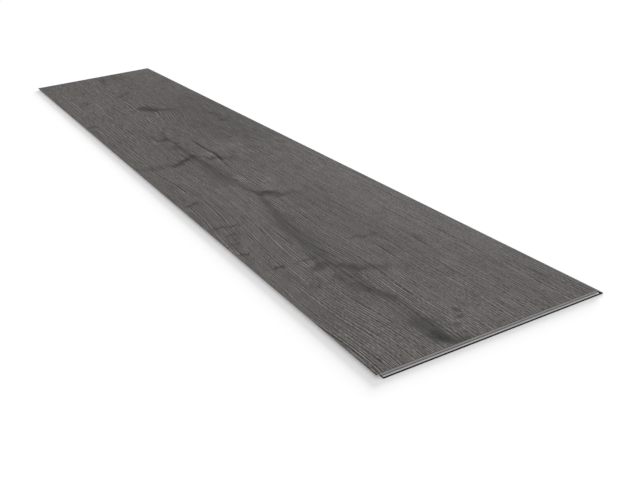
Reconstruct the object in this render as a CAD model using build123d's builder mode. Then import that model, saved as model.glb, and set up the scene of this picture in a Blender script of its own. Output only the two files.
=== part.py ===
"""Click-together stone plastic composite floor plank, one milled board lying face up.

X runs along the length towards the short end with the lip, Y across the width towards the long
side with the lip, Z up. The origin is under the middle of the laid face, on the underside.
A laid face is the area between the joint planes, which neighbouring planks share.
"""

import os

from build123d import *

os.makedirs("parts", exist_ok=True)

# Board
plank_length = 1220.0
plank_width = 220.0
thickness = 4.0
edge_bevel = 0.2

# Play between a hook and the lip that it drops into
lock_play = 0.05

# Lock on the long sides: a lip with a leaning ridge on one side, a raked hook on the other
long_face = 0.9
long_channel = 2.4
long_ridge = 0.9
long_ridge_height = 0.4
long_ridge_lean = 0.15
long_nose = 0.9
long_nose_drop = 0.4
long_lip = 1.1
long_root = 0.6
long_hook_toe = 0.6
long_room = 0.4

# Lock on the short ends: a lip under a snap groove at one end, a hook with a snap nose at the other
end_groove = 0.4
end_groove_height = 0.7
end_groove_slope = 0.15
end_channel = 0.8
end_ridge = 1.6
end_ridge_height = 0.25
end_ridge_chamfer = 0.1
end_lip = 1.5
end_lead_in = 0.2
end_room = 0.6

# Length of the hook side that is trimmed at the corner beside the end lip
corner_trim = 4.0

# Joint planes, heights of the crests and the groove, how far the lips reach and where the hook sides start
half_length = plank_length / 2
half_width = plank_width / 2
long_crest = long_lip + long_ridge_height
long_reach = long_channel + long_ridge + long_nose
long_wall = long_reach + long_room
end_crest = end_lip + end_ridge_height
end_groove_top = end_lip + end_groove_height
end_reach = end_channel + end_ridge
end_wall = end_reach + end_room


def long_lip_outline():
    """Lip side, from the laid face down to the underside, as distances out of the joint plane and up."""
    return [
        (-edge_bevel, thickness),
        (0, thickness - edge_bevel),
        (0, long_lip + long_root),
        (long_root, long_lip),
        (long_channel, long_lip),
        (long_channel - long_ridge_lean, long_crest),
        (long_channel + long_ridge, long_crest),
        (long_reach, long_crest - long_nose_drop),
        (long_reach, 0),
    ]


def long_hook_outline():
    """Hook side, which drops over a neighbour's long lip, as distances into the board and up."""
    hook_inside = long_channel - lock_play
    return [
        (edge_bevel, thickness),
        (0, thickness - edge_bevel),
        (0, thickness - long_face),
        (hook_inside - long_hook_toe, long_lip + lock_play),
        (hook_inside, long_lip + lock_play),
        (hook_inside - long_ridge_lean, long_crest + lock_play),
        (long_wall, long_crest + lock_play),
        (long_wall, 0),
    ]


def end_lip_outline():
    """Lip end, from the laid face down to the underside, as distances out of the joint plane and up."""
    return [
        (-edge_bevel, thickness),
        (0, thickness - edge_bevel),
        (0, end_groove_top),
        (-end_groove, end_groove_top - end_groove_slope),
        (-end_groove, end_lip),
        (end_channel, end_lip),
        (end_channel, end_crest),
        (end_reach - end_ridge_chamfer, end_crest),
        (end_reach, end_crest - end_ridge_chamfer),
        (end_reach, 0),
    ]


def end_hook_outline():
    """Hook end, whose nose snaps into a neighbour's groove, as distances into the board and up."""
    nose = end_groove - lock_play
    nose_top = end_groove_top - lock_play
    hook_foot = end_lip + lock_play
    hook_inside = end_channel - lock_play
    return [
        (edge_bevel, thickness),
        (0, thickness - edge_bevel),
        (0, nose_top),
        (-nose, nose_top - end_groove_slope),
        (-nose, hook_foot + end_lead_in),
        (end_lead_in - nose, hook_foot),
        (hook_inside, hook_foot),
        (hook_inside, end_crest + lock_play),
        (end_wall, end_crest + lock_play),
        (end_wall, 0),
    ]


def section_outline(half_span, lip_outline, hook_outline):
    """Closed outline of the board, with its lip on the positive side and its hook on the negative side."""
    lip_side = [(half_span + out, up) for out, up in lip_outline]
    hook_side = [(into - half_span, up) for into, up in hook_outline]
    return lip_side + hook_side[::-1]


# Both pairs of edges are milled right through, so the board is what two crossed sections share
with BuildPart() as plank:
    with BuildSketch(Plane.YZ):
        with BuildLine():
            Polyline(*section_outline(half_width, long_lip_outline(), long_hook_outline()), close=True)
        make_face()
    extrude(amount=half_length + end_reach, both=True)
    with BuildSketch(Plane.XZ):
        with BuildLine():
            Polyline(*section_outline(half_length, end_lip_outline(), end_hook_outline()), close=True)
        make_face()
    extrude(amount=half_width + long_reach, both=True, mode=Mode.INTERSECT)
    # The end lip stops where the hook side starts, and the hook is trimmed, so only the face covers the corner
    with BuildSketch(Plane.XY):
        with Locations((half_length - corner_trim, -half_width)):
            Rectangle(corner_trim + end_reach, long_wall, align=Align.MIN)
    extrude(amount=thickness - long_face, mode=Mode.SUBTRACT)

plank.part.label = "plank"
export_step(plank.part, "parts/plank.step")
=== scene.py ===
"""Looks of the stone plastic composite plank: grey oak face, bare milled locks and dark underside.

The frame is the CAD model's, in metres: X along the plank, Y across it, Z up. Places on the oak face
are written in millimetres from its middle, as (along, across).
"""

import math

import bmesh
import bpy
from mathutils import Matrix, Vector


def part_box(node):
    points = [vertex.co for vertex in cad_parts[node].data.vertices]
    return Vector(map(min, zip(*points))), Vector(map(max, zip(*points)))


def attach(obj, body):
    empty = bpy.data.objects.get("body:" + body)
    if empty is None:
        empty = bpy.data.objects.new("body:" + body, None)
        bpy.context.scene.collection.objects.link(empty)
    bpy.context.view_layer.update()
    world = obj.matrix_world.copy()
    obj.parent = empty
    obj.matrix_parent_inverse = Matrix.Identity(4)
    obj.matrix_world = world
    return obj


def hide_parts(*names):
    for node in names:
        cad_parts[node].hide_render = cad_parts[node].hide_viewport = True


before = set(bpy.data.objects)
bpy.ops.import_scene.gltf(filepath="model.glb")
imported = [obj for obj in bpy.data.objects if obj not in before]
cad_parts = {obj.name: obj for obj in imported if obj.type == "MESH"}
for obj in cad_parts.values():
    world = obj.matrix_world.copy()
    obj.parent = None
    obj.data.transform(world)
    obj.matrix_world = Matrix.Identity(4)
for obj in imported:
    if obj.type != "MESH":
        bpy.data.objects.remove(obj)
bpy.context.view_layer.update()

# Sizes read from the frame
lowest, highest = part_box("plank")
thickness = highest.z - lowest.z
mm_per_metre = 1000.0

# Cells of the embossed face, long ones along the grain, made in two rounds of cuts
cells_along = (20, 19)
cells_across = (25, 10)

# Embossing: depths in metres, and the level rim in millimetres
line_depth = 0.00003
crack_depth = 0.00009
smooth_rim = 2.0

# Values of the wide lines and of the crack where the pressing begins and where it is deepest
pressed_lines = (0.05, -0.15)
pressed_crack = (0.0, 0.2)

# Slack of the mesh, in metres: for corners that are one, for heights, and for what lies on the face
weld_gap = 0.000002
height_slack = 0.000001
face_skin = 0.00001

# Least share of an edge that lies along an axis, and of a side's normal that points up or down
along_axis = 0.99
facing_up = 0.6
facing_down = 0.99

# Angles of sides that are one flat face, and of sides that are shaded as one
flat_angle = math.radians(1.0)
smooth_angle = math.radians(15.0)

# How far down the print goes over the bevels, in metres
print_reach = 0.0003

# Tones go from 0, black, to 1, white, and a tone to this power is a colour's value
tone_power = 2.2

# Bands that show on the milled edges by height: tone of the lowest, then the height each begins at and its
# tone
pad_tone = 0.08
# The lowest is the dark pad and the top band the film. The band from 1.60 is painted light: the same core
# painted paler than the band above it, where the lip's top and the groove lie in shade. The band from 1.22
# steps down from it towards the pad.
core_bands_with_painted_light = [(1.22, 0.50), (1.60, 0.80), (2.25, 0.66), (3.65, 0.40)]
band_blur = 0.03
back_tone = 0.25

# Gloss of the wear layer and of the bare board, and roughness of the face, the core and the underside
wear_layer_gloss = 0.02
board_gloss = 0.03
oak_roughness = 0.74
core_roughness = 0.8
back_roughness = 0.7

# Colours
white = (1.0, 1.0, 1.0)
back_tint = (1.0, 0.995, 0.985)
oak_tint = (1.064, 0.996, 0.944)
olive_turn = (-0.055, 0.05, -0.05)
mark_turn = (0.0, 0.0, -0.04)

# Camera, solved from the corners of the face
camera_place = Vector((1.0622, -0.3729, 0.3471))
camera_aim = Vector((0.3695, -0.0256, 0.004))
camera_roll = math.radians(-5.095)
camera_lens = 47.15
sensor_width = 36.0
nearest_seen = 0.01

# Light and floor
sky_strength = 0.68
sun_share = 0.32
sun_height = math.radians(12)
sun_softness = math.radians(22)
sun_heading = math.radians(135)
floor_size = 60.0
floor_colour = (0.80, 0.80, 0.80, 1.0)
floor_lift = 0.22

# Shares of the oak's parts in the print's tone
print_tone = 0.3465
darkest_tone = 0.08
short_share = 0.28
long_share = 0.095
pore_share = 0.03
line_lift = 0.0085
wide_share = 0.068
patch_share = 0.03
mottle_share = 0.048
grit_share = 0.05
# Painted shade: how much the right part of the face is darkened, against the low sun's sheen there
right_painted_shade = 0.014

# How much the lines gain on the far part and by the near end, and lose in the marks
far_gain = 0.58
end_gain = 0.25
mark_calm = 0.6

# Zones of the face, each from where it begins to where it is full; that of the far lines lies askew
far_gain_zone = (350.0, -100.0)
far_dash_zone = (260.0, -260.0)
far_line_zone = (-40.0, -260.0)
far_line_slant = 2.0
end_zone = (470.0, 600.0)
left_zone = (25.0, -40.0)
right_painted_shade_zone = (-15.0, 35.0)

# Darkness of marks that calm the lines, and of those that are olive, from the least to the full
calm_marks = (0.0, 0.08)
olive_marks = (0.05, 0.16)

# How the lines show in the marks: the even share, and the weight of the long lines, beside 1 for short ones
mark_base = 0.85
mark_lines = 0.15

# Short lines: weights of the dashes on the near part and on the far part, and of the streaks
near_dash_weight = 0.65
far_dash_weight = 0.27
streak_weight = 0.42

# Long lines on the near part and on the far part: spacing, length, length of their beads, sway, weight
near_sizes = [(2.75, 80.0, 4.0, 2.8, 1.05), (1.9, 110.0, 5.0, 2.8, 0.75)]
far_sizes = [(3.8, 110.0, 12.0, 0.8, 1.2), (4.9, 140.0, 16.0, 0.8, 0.65)]
row_spread = 5.37

# Flanks of the noise that are steepened, in the pores and in the strength of the lines
pore_flanks = (0.52, 0.66)
line_flanks = (0.3, 0.7)

# Weights of the long lines: right of the vein, added left of it and by the rings, and on the far part
right_weight = 0.40
left_weight = 0.18
ring_weight = 0.3
far_weight = 0.48

# Rings beside the dark knot: place, half length, half width
rings = ((-190.0, 45.0), 80.0, 35.0)

# Bends of the grain and their zones: a drift, a sweep past the dark knot, a crest and a fall below the
# vein, and a climb at the near end
drift_reach = 10.0
sweep_middle = 40.0
sweep_half_width = 45.0
sweep_drop = 17.0
sweep_near_zone = (-120.0, -260.0)
sweep_far_zone = (-700.0, -300.0)
crest_rise = 8.0
crest_zone = (0.0, 110.0)
crest_fall = 15.0
fall_zone = (190.0, 420.0)
below_vein_zone = (-15.0, -75.0)
end_climb = 9.0
below_end_zone = (-35.0, -60.0)

# How far the edges of the strokes and of the dots are ragged, along and across
stroke_rag = (24.0, 16.0, 0.0)
dot_rag = (8.0, 6.0, 0.0)

# Shares of that in the vein and in the crack
vein_rag = 0.3
crack_rag = 0.1

# Knots that the grain bends round: place, half length, half width, push
grain_knots = [
    ((-283.0, 5.0), 45.0, 26.0, 5.0),
    ((24.0, -36.0), 30.0, 20.0, 6.0),
    ((208.0, -8.0), 35.0, 20.0, 6.0),
    ((440.0, -40.0), 40.0, 22.0, 6.0),
    ((592.0, -34.0), 40.0, 20.0, 7.0),
]

# Ranges that the curves of a vein are drawn in
middle_range = (-110.0, 110.0)
half_width_range = (0.0, 10.0)
darkness_range = (0.0, 0.25)

# A vein's firm middle and soft border, from the outside in by its half width, and the firm one's share
vein_firm = (1.4, 0.3)
vein_soft = (2.9, 0.3)
firm_share = 0.6

# The main vein: along, across, half width, darkness
vein = [
    (-152, -13, 2.0, 0.00),
    (-132, -21, 3.0, 0.04),
    (-112, -26, 2.5, 0.04),
    (-92, -30, 2.5, 0.05),
    (-82, -28.5, 1.8, 0.09),
    (-40, -28.3, 1.8, 0.075),
    (0, -28.3, 2.0, 0.075),
    (20, -29, 3.5, 0.06),
    (50, -28, 6.0, 0.042),
    (80, -28, 7.0, 0.042),
    (110, -29, 7.0, 0.042),
    (140, -27, 5.0, 0.048),
    (165, -25, 4.0, 0.055),
    (185, -22, 3.0, 0.055),
    (205, -20, 3.0, 0.055),
    (235, -23, 4.0, 0.065),
    (262, -28, 4.5, 0.065),
    (285, -31, 5.5, 0.06),
    (305, -36, 7.0, 0.058),
    (340, -37.5, 8.0, 0.056),
    (370, -39.5, 8.5, 0.05),
    (400, -43, 9.0, 0.044),
    (425, -45, 8.0, 0.04),
    (450, -42, 6.0, 0.03),
    (480, -44, 6.0, 0.03),
    (510, -38, 6.0, 0.035),
    (530, -35, 6.0, 0.025),
    (560, -38, 7.0, 0.03),
    (585, -39, 8.0, 0.03),
    (610, -31, 7.0, 0.04),
]

# The drying crack above it
crack = [
    (-95, -2.0, 1.2, 0.00),
    (-60, -1.7, 1.2, 0.06),
    (-28, -2.0, 1.4, 0.17),
    (-8, -1.5, 1.2, 0.11),
    (25, -0.2, 1.5, 0.17),
    (50, -1.8, 1.5, 0.17),
    (60, -2.2, 1.0, 0.03),
    (98, -2.6, 1.0, 0.00),
]

# Strokes: start, end, half width, darkness, which is below zero where the wood is paler
strokes = [
    # Broad tone
    ((-300, 82), (-20, 80), 62, 0.026),
    ((-600, 86), (-515, 86), 45, -0.020),
    ((-235, 45), (-60, 42), 60, 0.014),
    ((120, 86), (470, 86), 62, -0.010),
    ((500, 84), (600, 84), 45, 0.016),
    ((260, 18), (470, 24), 50, 0.013),
    ((-105, -36), (130, -36), 36, 0.024),
    ((-490, -86), (-330, -86), 40, -0.010),
    ((300, -30), (560, -40), 30, 0.016),
    # The dark knot and its tail
    ((-298, 1), (-272, 9), 19, 0.10),
    ((-290, 3), (-274, 8), 10, 0.05),
    ((-272, 12), (-254, 30), 15, 0.05),
    ((-292, -10), (-290, -22), 12, 0.03),
    # Marks on the far part
    ((-431, 15), (-409, -5), 10, 0.05),
    ((-502, -47), (-485, -50), 8, 0.05),
    ((-462, -44), (-450, -42), 9, 0.03),
    ((-412, -66), (-398, -74), 20, 0.035),
    ((-362, -32), (-354, -36), 6, 0.05),
    ((-606, 30), (-552, 35), 11, 0.035),
    ((-604, 9), (-515, -1), 7, 0.04),
    ((-245, -109), (-235, -90), 10, 0.05),
    ((-196, 71), (-183, 77), 8, 0.045),
    ((-183, 78), (-115, 77), 5, 0.04),
    ((-150, -12), (-148, -13), 11, 0.035),
    ((-112, 0), (-95, -10), 5, 0.05),
    # Spurs of the vein
    ((-91, -32), (-87, -38), 10, 0.065),
    ((-68, -25), (-63, -24), 8, 0.07),
    ((-45, -33), (-32, -34), 11, 0.04),
    ((11, -28), (24, -44), 9, 0.08),
    ((24, -44), (37, -58), 12, 0.09),
    ((32, -62), (25, -92), 18, 0.04),
    ((18, -27), (38, -12), 11, 0.045),
    ((38, -12), (57, 14), 14, 0.04),
    ((197, -17), (210, -7), 12, 0.075),
    ((206, -14), (225, -3), 12, 0.085),
    ((225, -3), (233, 20), 10, 0.04),
    ((432, -38), (447, -27), 10, 0.065),
    ((447, -27), (459, -10), 14, 0.05),
    ((418, -52), (425, -58), 10, 0.085),
    ((448, -52), (458, -53), 9, 0.05),
    ((476, -46), (490, -43), 11, 0.06),
    ((494, -41), (516, -36), 9, 0.05),
    ((452, -72), (456, -77), 10, 0.05),
    ((566, -38), (592, -41), 15, 0.065),
    ((590, -40), (612, -27), 9, 0.065),
    # Fine checks across the grain
    ((162, 2.5), (173, -1), 2, 0.09),
    ((174, 9), (180, 6), 2, 0.09),
    ((187, 14), (195, 6), 2, 0.08),
    ((403, -49), (404, -68), 4, 0.07),
    ((402, -84), (402, -93), 5, 0.11),
    ((351, -97), (352, -108), 4.5, 0.10),
    ((280, -75), (272, -99), 5, 0.07),
    ((298, -88), (301, -97), 4, 0.07),
    ((322, -93), (325, -101), 4, 0.07),
    ((181, -87), (193, -101), 5, 0.07),
    ((392, 25), (383, 2), 7, 0.05),
    # Pale streak on the far part
    ((-412, -56), (-272, -60), 8, -0.025),
    # Pale flecks beside the spurs
    ((-87, -47), (-80, -45), 8, -0.06),
    ((32, -20), (38, -18), 7, -0.05),
    ((10, -8), (28, -6), 12, -0.03),
    ((-15, 30), (40, 36), 24, -0.025),
    ((134, -15), (141, -13), 7, -0.05),
    ((161, -35), (164, -62), 6, -0.03),
    ((168, 12), (200, 4), 17, -0.03),
    ((216, -14), (224, -12), 7, -0.05),
    ((575, -14), (590, -12), 12, -0.035),
]

# Dots: place, half width, darkness
dots = [
    ((-280, -34), 6, 0.06),
    ((-128, 72), 9, 0.04),
    ((-88, 47), 8, 0.04),
    ((-35, 49), 6, 0.05),
    ((80, 55), 8, 0.04),
    ((116, 54), 9, 0.045),
    ((130, 39), 6, 0.04),
    ((172, 49), 8, 0.04),
    ((146, -20), 8, 0.045),
    ((284, -20), 6, 0.045),
    ((312, -92), 6, 0.045),
    ((490, -72), 9, 0.03),
    ((567, -5), 6, 0.12),
    ((577, -9), 6, 0.11),
    ((586, -16), 6, 0.09),
]


class Wire:
    """One output of a node tree. Sums with it add Math nodes, and make adds any other node."""

    def __init__(self, tree, socket=None):
        self.tree = tree
        self.socket = socket

    def make(self, kind, settings=None, inputs=None, output=0):
        """Adds a node with its settings, then the values or links of its sockets, and gives one output."""
        node = self.tree.nodes.new(kind)
        for name, value in (settings or {}).items():
            if name == "curve":
                points = node.mapping.curves[0].points
                points[0].location = value[0]
                points[1].location = value[-1]
                for place in value[1:-1]:
                    points.new(*place)
                node.mapping.update()
            else:
                setattr(node, name, value)
        for name, value in (inputs or {}).items():
            if isinstance(value, Wire):
                self.tree.links.new(value.socket, node.inputs[name])
            else:
                node.inputs[name].default_value = value
        return Wire(self.tree, node.outputs[output] if node.outputs else None)

    def sums(self, operation, *others):
        return self.make("ShaderNodeMath", {"operation": operation}, dict(enumerate((self, *others))))

    def __add__(self, other):
        return self.sums("ADD", other)

    __radd__ = __add__

    def __sub__(self, other):
        return self.sums("SUBTRACT", other)

    def __rsub__(self, other):
        return self.sums("MULTIPLY_ADD", -1.0, other)

    def __mul__(self, other):
        return self.sums("MULTIPLY", other)

    __rmul__ = __mul__

    def __truediv__(self, other):
        return self.sums("DIVIDE", other)

    def __pow__(self, other):
        return self.sums("POWER", other)

    def __neg__(self):
        return self.sums("MULTIPLY", -1.0)


def vector(wire, operation, *values, output=0):
    """A Vector Math node on up to three vectors."""
    return wire.make("ShaderNodeVectorMath", {"operation": operation}, dict(enumerate(values)), output)


def scaled(wire, direction, amount):
    """A fixed or wired vector times an amount."""
    return wire.make("ShaderNodeVectorMath", {"operation": "SCALE"}, {0: direction, "Scale": amount})


def step(value, start, end):
    """0 at start and 1 at end, with a smooth climb between them."""
    inputs = {"Value": value, "From Min": start, "From Max": end}
    return value.make("ShaderNodeMapRange", {"interpolation_type": "SMOOTHSTEP"}, inputs)


def flat_place(along, across):
    """A vector that lies on the face."""
    return along.make("ShaderNodeCombineXYZ", {}, {"X": along, "Y": across})


def cloud(along, across, length, width, detail=2.0, rough=0.5, turn=0.0, output=0):
    """Noise about 0.5, with patches of about this length and width in millimetres."""
    spot = flat_place(along / length + turn, across / width - turn)
    inputs = {"Vector": spot, "Scale": 1.0, "Detail": detail, "Roughness": rough}
    return along.make("ShaderNodeTexNoise", {"noise_dimensions": "2D"}, inputs, output)


def mostly(noise):
    """Noise with its flanks steepened, 0 to 1."""
    return step(noise, *line_flanks)


def fade(off):
    """1 where off is 0, fading to nearly 0 at 2 on either side."""
    return (-(off * off)).sums("EXPONENT")


def board_place(place):
    """A place on the board in millimetres, as its along, across and up wires."""
    spot = scaled(place, place, mm_per_metre)
    return [place.make("ShaderNodeSeparateXYZ", {}, {0: spot}, axis) for axis in range(3)]


def fade_about(along, across, place, half_length, half_width):
    """1 at a place on the face, fading to 0 around it."""
    reach = (along - place[0]) / half_length
    side = (across - place[1]) / half_width
    return (-(reach * reach + side * side)).sums("EXPONENT")


def grain_across(along, across):
    """Across the board as the grain sees it, so that its lines bend round knots and drift."""
    bent = across + (cloud(along, across, length=300.0, width=90.0, detail=1.0) - 0.5) * drift_reach
    # A sweep from above the far knot down to the vein
    sweep = fade((across - sweep_middle) / sweep_half_width)
    bent = bent - sweep * step(along, *sweep_near_zone) * step(along, *sweep_far_zone) * sweep_drop
    # Below the vein, a crest and a fall, and then a climb towards the dark end patch
    crest = step(along, *crest_zone) * crest_rise - step(along, *fall_zone) * crest_fall
    bent = bent - crest * step(across, *below_vein_zone)
    bent = bent - step(along, *end_zone) * step(across, *below_end_zone) * end_climb
    for place, half_length, half_width, push in grain_knots:
        side = (across - place[1]) / half_width
        bent = bent - fade_about(along, across, place, half_length, half_width) * side * push
    return bent


def curve_of(along, points, column, value_range):
    """One column of a vein's points, as a smooth curve along the board."""
    low, high = value_range
    start = points[0][0]
    span = points[-1][0] - start
    places = [((point[0] - start) / span, (point[column] - low) / (high - low)) for point in points]
    risen = along.make("ShaderNodeFloatCurve", {"curve": places}, {"Value": (along - start) / span})
    return risen * (high - low) + low


def vein_tone(along, across, points):
    """Darkness of a vein that runs along the grain, firm in its middle and soft at its border."""
    middle = curve_of(along, points, 1, middle_range)
    half_width = curve_of(along, points, 2, half_width_range)
    darkness = curve_of(along, points, 3, darkness_range)
    off = (across - middle).sums("ABSOLUTE") / half_width
    first = points[0][0]
    last = points[-1][0]
    inside = step(along, first, first + 1.0) * step(along, last, last - 1.0)
    shade = step(off, *vein_firm) * firm_share + step(off, *vein_soft) * (1.0 - firm_share)
    return shade * darkness * inside


def stroke_tone(spot, total):
    """Darkness of the strokes, added to a total."""
    for start, end, half_width, darkness in strokes:
        run = Vector(end) - Vector(start)
        from_start = vector(spot, "SUBTRACT", spot, (*start, 0.0))
        share = vector(spot, "DOT_PRODUCT", from_start, (*(run / run.length_squared), 0.0), output=1)
        share = spot.make("ShaderNodeClamp", {}, {"Value": share})
        nearest = scaled(spot, (*run, 0.0), share)
        off = vector(spot, "DISTANCE", from_start, nearest, output=1)
        total = step(off, float(half_width), 0.0).sums("MULTIPLY_ADD", darkness, total)
    return total


def dot_tone(spot, total):
    """Darkness of the dots, added to a total."""
    for place, half_width, darkness in dots:
        off = vector(spot, "DISTANCE", spot, (*place, 0.0), output=1)
        total = step(off, float(half_width), 0.0).sums("MULTIPLY_ADD", darkness, total)
    return total


def pores(along, grain):
    """Thin dark dashes along the grain, 0 to 1."""
    return step(cloud(along, grain, length=40.0, width=0.75, detail=1.0, turn=3.7), *pore_flanks)


def short_lines(along, grain):
    """Short lines along the grain about 0: dashes, which are longer on the far part, and streaks."""
    far_share = step(along, *far_dash_zone)
    near_dashes = cloud(along, grain, length=4.6, width=0.75, detail=1.0, turn=11.3) - 0.5
    far_dashes = cloud(along, grain, length=8.5, width=1.1, detail=1.0, turn=9.6) - 0.5
    streaks = cloud(along, grain, length=26.0, width=0.65, detail=1.0, turn=4.2) - 0.5
    dashes = near_dashes * (1.0 - far_share) * near_dash_weight + far_dashes * far_share * far_dash_weight
    return dashes + streaks * streak_weight


def beaded_lines(along, grain, sizes):
    """Lines about 0 at nearly even spacings, each beaded and stronger in some places than in others."""
    lines = 0.0
    for spacing, length, bead_length, sway, weight in sizes:
        drift = cloud(along, grain, length=200.0, width=11.0, detail=1.0, turn=spacing * 2.0) - 0.5
        count = grain / spacing + drift * sway
        row = count.sums("FLOOR") * row_spread
        strength = 0.5 + mostly(cloud(along, row, length, 1.0, detail=1.0, turn=spacing)) * 0.6
        bead = 0.4 + mostly(cloud(along, row, bead_length, 1.0, detail=0.0, turn=spacing)) * 1.2
        lines = (count * (2 * math.pi)).sums("SINE") * strength * bead * weight + lines
    return lines


def long_lines(along, across, grain):
    """Long lines along the grain about 0, stronger left of the vein and by the rings."""
    far_share = step(along + across * far_line_slant, *far_line_zone)
    near_lines = beaded_lines(along, grain, near_sizes)
    far_lines = beaded_lines(along, grain, far_sizes)
    lines = near_lines * (1.0 - far_share) + far_lines * far_share * far_weight
    left = step(across, *left_zone)
    return lines * (right_weight + left * left_weight + fade_about(along, across, *rings) * ring_weight)


def wide_lines(along, grain):
    """Wide lines along the grain about 0."""
    return cloud(along, grain, length=90.0, width=5.0, turn=8.9) - 0.5


def oak_marks(along, across, grain, short, long):
    """Darkness of the vein, strokes, dots and crack, with ragged edges and the lines showing through."""
    ragged = cloud(along, grain, length=24.0, width=12.0, rough=0.6, turn=1.4, output=1)
    ragged = vector(along, "SUBTRACT", ragged, (0.5, 0.5, 0.5))
    even_spot = flat_place(along, across)
    spot = vector(along, "MULTIPLY_ADD", ragged, stroke_rag, even_spot)
    dot_spot = vector(along, "MULTIPLY_ADD", ragged, dot_rag, even_spot)
    ragged_across = along.make("ShaderNodeSeparateXYZ", {}, {0: spot}, 1)
    marks = vein_tone(along, across * (1.0 - vein_rag) + ragged_across * vein_rag, vein)
    marks = dot_tone(dot_spot, stroke_tone(spot, marks))
    marks = marks * (mark_base + long * mark_lines + short)
    return marks + vein_tone(along, across * (1.0 - crack_rag) + ragged_across * crack_rag, crack)


def select_only(piece):
    """Selects one piece and makes it the active one."""
    bpy.ops.object.select_all(action="DESELECT")
    piece.select_set(True)
    bpy.context.view_layer.objects.active = piece


def board_copy():
    """The CAD plank as a piece of its own, with each flat side one face."""
    board = bpy.data.objects.new("plank_board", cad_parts["plank"].data.copy())
    bpy.context.scene.collection.objects.link(board)
    board.data.materials.clear()
    select_only(board)
    bpy.ops.mesh.customdata_custom_splitnormals_clear()
    bpy.ops.object.mode_set(mode="EDIT")
    bpy.ops.mesh.select_all(action="SELECT")
    bpy.ops.mesh.remove_doubles(threshold=weld_gap)
    bpy.ops.mesh.dissolve_limited(angle_limit=flat_angle)
    bpy.ops.object.mode_set(mode="OBJECT")
    return board


def on_face(corner):
    """Whether a corner lies on the laid face."""
    return corner.co.z > thickness - height_slack


def cut_face_edges(board, axis, cells):
    """Divides every edge of the laid face that runs along one axis into cells."""
    select_only(board)
    bpy.ops.object.mode_set(mode="EDIT")
    bpy.ops.mesh.select_mode(type="EDGE")
    bpy.ops.mesh.select_all(action="DESELECT")
    shape = bmesh.from_edit_mesh(board.data)
    for edge in shape.edges:
        first, second = edge.verts
        parallel = abs((second.co - first.co).normalized()[axis]) > along_axis
        edge.select = parallel and on_face(first) and on_face(second)
    shape.select_flush_mode()
    bmesh.update_edit_mesh(board.data)
    bpy.ops.mesh.subdivide(number_cuts=cells - 1)
    bpy.ops.object.mode_set(mode="OBJECT")


def face_rim(board):
    """Lowest and highest corner of the laid face, in millimetres."""
    corners = [corner.co * mm_per_metre for corner in board.data.vertices if on_face(corner)]
    low = [min(corner[axis] for corner in corners) for axis in range(2)]
    high = [max(corner[axis] for corner in corners) for axis in range(2)]
    return low, high


def emboss(board):
    """Presses the grain's wide lines and the crack into the laid face, in line with the print."""
    tree = bpy.data.node_groups.new("pressed_grain", "GeometryNodeTree")
    tree.interface.new_socket("Geometry", in_out="INPUT", socket_type="NodeSocketGeometry")
    tree.interface.new_socket("Geometry", in_out="OUTPUT", socket_type="NodeSocketGeometry")
    start = Wire(tree).make("NodeGroupInput")
    place = start.make("GeometryNodeInputPosition")
    along, across, up = board_place(place)
    lines = wide_lines(along, grain_across(along, across))
    depth = step(lines, *pressed_lines) * line_depth
    depth = depth.sums("MAXIMUM", step(vein_tone(along, across, crack), *pressed_crack) * crack_depth)
    # The rim stays level, so that the bevel is straight
    low, high = face_rim(board)
    for wire, axis in ((along, 0), (across, 1)):
        depth = depth * step(wire, low[axis], low[axis] + smooth_rim)
        depth = depth * step(wire, high[axis], high[axis] - smooth_rim)
    depth = depth * step(up, (thickness - face_skin) * mm_per_metre, thickness * mm_per_metre)
    pressed = start.make("ShaderNodeCombineXYZ", {}, {"Z": -depth})
    moved = start.make("GeometryNodeSetPosition", {}, {"Geometry": start, "Offset": pressed})
    start.make("NodeGroupOutput", {}, {0: moved})
    press = board.modifiers.new("pressed_grain", "NODES")
    press.node_group = tree
    select_only(board)
    bpy.ops.object.modifier_apply(modifier=press.name)


def new_material(name):
    """An empty material, and a wire that holds the place on the board."""
    material = bpy.data.materials.new(name)
    material.use_nodes = True
    material.node_tree.nodes.clear()
    return material, Wire(material.node_tree).make("ShaderNodeTexCoord", {}, {}, "Object")


def specks(place, scale):
    """Fine noise about 0.5 in all directions."""
    return place.make("ShaderNodeTexNoise", {}, {"Vector": place, "Scale": scale, "Detail": 3.0})


def bumps(place, height, strength, distance):
    """A normal that is bent by a height."""
    return place.make("ShaderNodeBump", {}, {"Strength": strength, "Distance": distance, "Height": height})


def coat(place, sockets):
    """Ends a material in a Principled shader with these sockets."""
    shader = place.make("ShaderNodeBsdfPrincipled", {}, sockets)
    place.make("ShaderNodeOutputMaterial", {}, {"Surface": shader})


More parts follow.
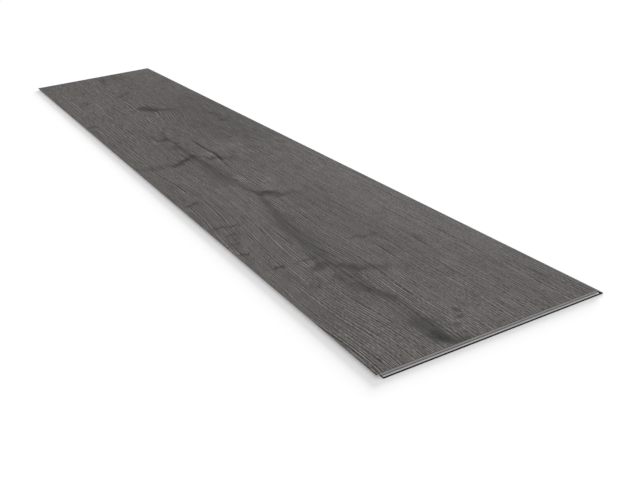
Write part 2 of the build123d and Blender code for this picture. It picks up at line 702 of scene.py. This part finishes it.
def oak_print():
    """Warm grey oak under a matte wear layer, with painted shade on the right part of the face."""
    material, place = new_material("oak_print")
    along, across, _ = board_place(place)
    grain = grain_across(along, across)
    short = short_lines(along, grain)
    long = long_lines(along, across, grain)
    wide = wide_lines(along, grain)
    pore = pores(along, grain)
    patch = cloud(along, across, length=170.0, width=40.0, turn=2.2) - 0.5
    mottle = cloud(along, grain, length=22.0, width=9.0, detail=3.0, turn=6.6) - 0.5
    grit = cloud(along, across, length=1.6, width=1.0, detail=0.0, turn=12.7) - 0.5
    marks = oak_marks(along, across, grain, short, long)
    # The lines are calmer in the marks
    calm = step(marks, *calm_marks)
    lines = (short * short_share + long * long_share) * (1.0 - calm * mark_calm)
    lines = lines - pore * pore_share + line_lift
    gain = 1.0 + step(along, *far_gain_zone) * far_gain + step(along, *end_zone) * end_gain
    tone = print_tone + lines * gain
    tone = tone + wide * wide_share + patch * patch_share + mottle * mottle_share + grit * grit_share
    # Painted shade: the right part of the face is darkened, against the low sun's sheen there
    tone = tone - step(across, *right_painted_shade_zone) * right_painted_shade
    tone = (tone - marks).sums("MAXIMUM", darkest_tone)
    # The darkest marks are olive, the rest a warm grey
    olive = step(marks, *olive_marks)
    tint = vector(place, "ADD", scaled(place, olive_turn, olive), oak_tint)
    tint = vector(place, "ADD", scaled(place, mark_turn, calm), tint)
    coat(place, {
        "Base Color": scaled(place, tint, tone ** tone_power),
        "Roughness": oak_roughness + pore * 0.1 - long * 0.05,
        "Normal": bumps(place, long - pore, strength=0.25, distance=0.00004),
        "Specular IOR Level": wear_layer_gloss,
    })
    return material


def milled_core():
    """Bare board where the locks are milled: dark pad, grey core and vinyl and the film on top, with a
    paler band painted as light where the lip's top and the groove lie in shade.
    """
    material, place = new_material("milled_core")
    _, _, up = board_place(place)
    speck = specks(place, 900.0)
    milling = {"W": up, "Scale": 5.0, "Detail": 3.0}
    streak = place.make("ShaderNodeTexNoise", {"noise_dimensions": "1D"}, milling)
    tone = pad_tone
    # Painted light: the band from 1.60 is painted paler for the shade on the lip's top and in the groove
    for begin, band_tone in core_bands_with_painted_light:
        tone = tone + step(up, begin - band_blur, begin + band_blur) * (band_tone - tone)
    tone = tone * (1.0 + (speck - 0.5) * 0.2 + (streak - 0.5) * 0.12)
    coat(place, {
        "Base Color": scaled(place, white, tone ** tone_power),
        "Roughness": core_roughness + (speck - 0.5) * 0.3,
        "Normal": bumps(place, speck + streak, strength=0.3, distance=0.00002),
        "Specular IOR Level": board_gloss,
    })
    return material


def dark_back():
    """Dark underside with the faint lines of the rollers."""
    material, place = new_material("dark_back")
    along, across, _ = board_place(place)
    speck = specks(place, 700.0)
    roller = cloud(along, across, length=400.0, width=2.0, turn=4.4) - 0.5
    patch = cloud(along, across, length=120.0, width=60.0, turn=9.1) - 0.5
    tone = back_tone + (speck - 0.5) * 0.08 + roller * 0.05 + patch * 0.04
    coat(place, {
        "Base Color": scaled(place, back_tint, tone ** tone_power),
        "Roughness": back_roughness + roller * 0.3,
        "Normal": bumps(place, speck + roller, strength=0.4, distance=0.00005),
        "Specular IOR Level": board_gloss,
    })
    return material


def finish_faces(board):
    """Gives the laid face its print, the underside its dark back and the locks their bare core."""
    for material in (milled_core(), oak_print(), dark_back()):
        board.data.materials.append(material)
    for face in board.data.polygons:
        if face.normal.z > facing_up and face.center.z > thickness - print_reach:
            face.material_index = 1
        elif face.normal.z < -facing_down and face.center.z < height_slack:
            face.material_index = 2


def model_board():
    """The plank with its face divided, embossed and printed."""
    board = board_copy()
    for axis, rounds in ((0, cells_along), (1, cells_across)):
        for cells in rounds:
            cut_face_edges(board, axis, cells)
    emboss(board)
    bpy.ops.object.shade_smooth_by_angle(angle=smooth_angle)
    finish_faces(board)
    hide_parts("plank")
    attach(board, "root")


def lay_floor():
    """A wide pale floor, which the camera sees a little lighter than it is."""
    bpy.ops.object.select_all(action="DESELECT")
    bpy.ops.mesh.primitive_plane_add(size=floor_size)
    floor = bpy.context.object
    floor.name = "floor"
    material, place = new_material("floor_paint")
    seen = place.make("ShaderNodeLightPath", {}, {}, "Is Camera Ray")
    coat(place, {
        "Base Color": floor_colour,
        "Roughness": 0.9,
        "Specular IOR Level": 0.0,
        "Emission Color": scaled(place, white, seen * floor_lift),
        "Emission Strength": 1.0,
    })
    floor.data.materials.append(material)


def light_studio():
    """An even white sky, which is seen as plain white, and a low soft sun."""
    world = bpy.data.worlds.new("studio")
    bpy.context.scene.world = world
    world.use_nodes = True
    world.node_tree.nodes.clear()
    start = Wire(world.node_tree)
    seen = 0.0
    for ray in ("Is Camera Ray", "Is Glossy Ray", "Is Transmission Ray"):
        seen = start.make("ShaderNodeLightPath", {}, {}, ray) + seen
    seen = seen.sums("MINIMUM", 1.0)
    strength = sky_strength + seen * (1.0 - sky_strength)
    sky = start.make("ShaderNodeBackground", {}, {"Color": (*white, 1.0), "Strength": strength})
    start.make("ShaderNodeOutputWorld", {}, {"Surface": sky})
    lamp = bpy.data.lights.new("window", "SUN")
    lamp.energy = sun_share * math.pi / math.sin(sun_height)
    lamp.angle = sun_softness
    window = bpy.data.objects.new("window", lamp)
    window.rotation_euler = (0.0, math.pi / 2 - sun_height, sun_heading)
    bpy.context.scene.collection.objects.link(window)


def set_camera():
    """The camera, at its place, aimed and rolled."""
    data = bpy.data.cameras.new("camera")
    data.sensor_width = sensor_width
    data.lens = camera_lens
    data.clip_start = nearest_seen
    camera = bpy.data.objects.new("camera", data)
    look = (camera_aim - camera_place).to_track_quat("-Z", "Y").to_matrix()
    turned = look @ Matrix.Rotation(camera_roll, 3, "Z")
    camera.matrix_world = Matrix.Translation(camera_place) @ turned.to_4x4()
    bpy.context.scene.collection.objects.link(camera)
    bpy.context.scene.camera = camera


model_board()
lay_floor()
light_studio()
set_camera()
bpy.context.scene.view_settings.view_transform = "Standard"
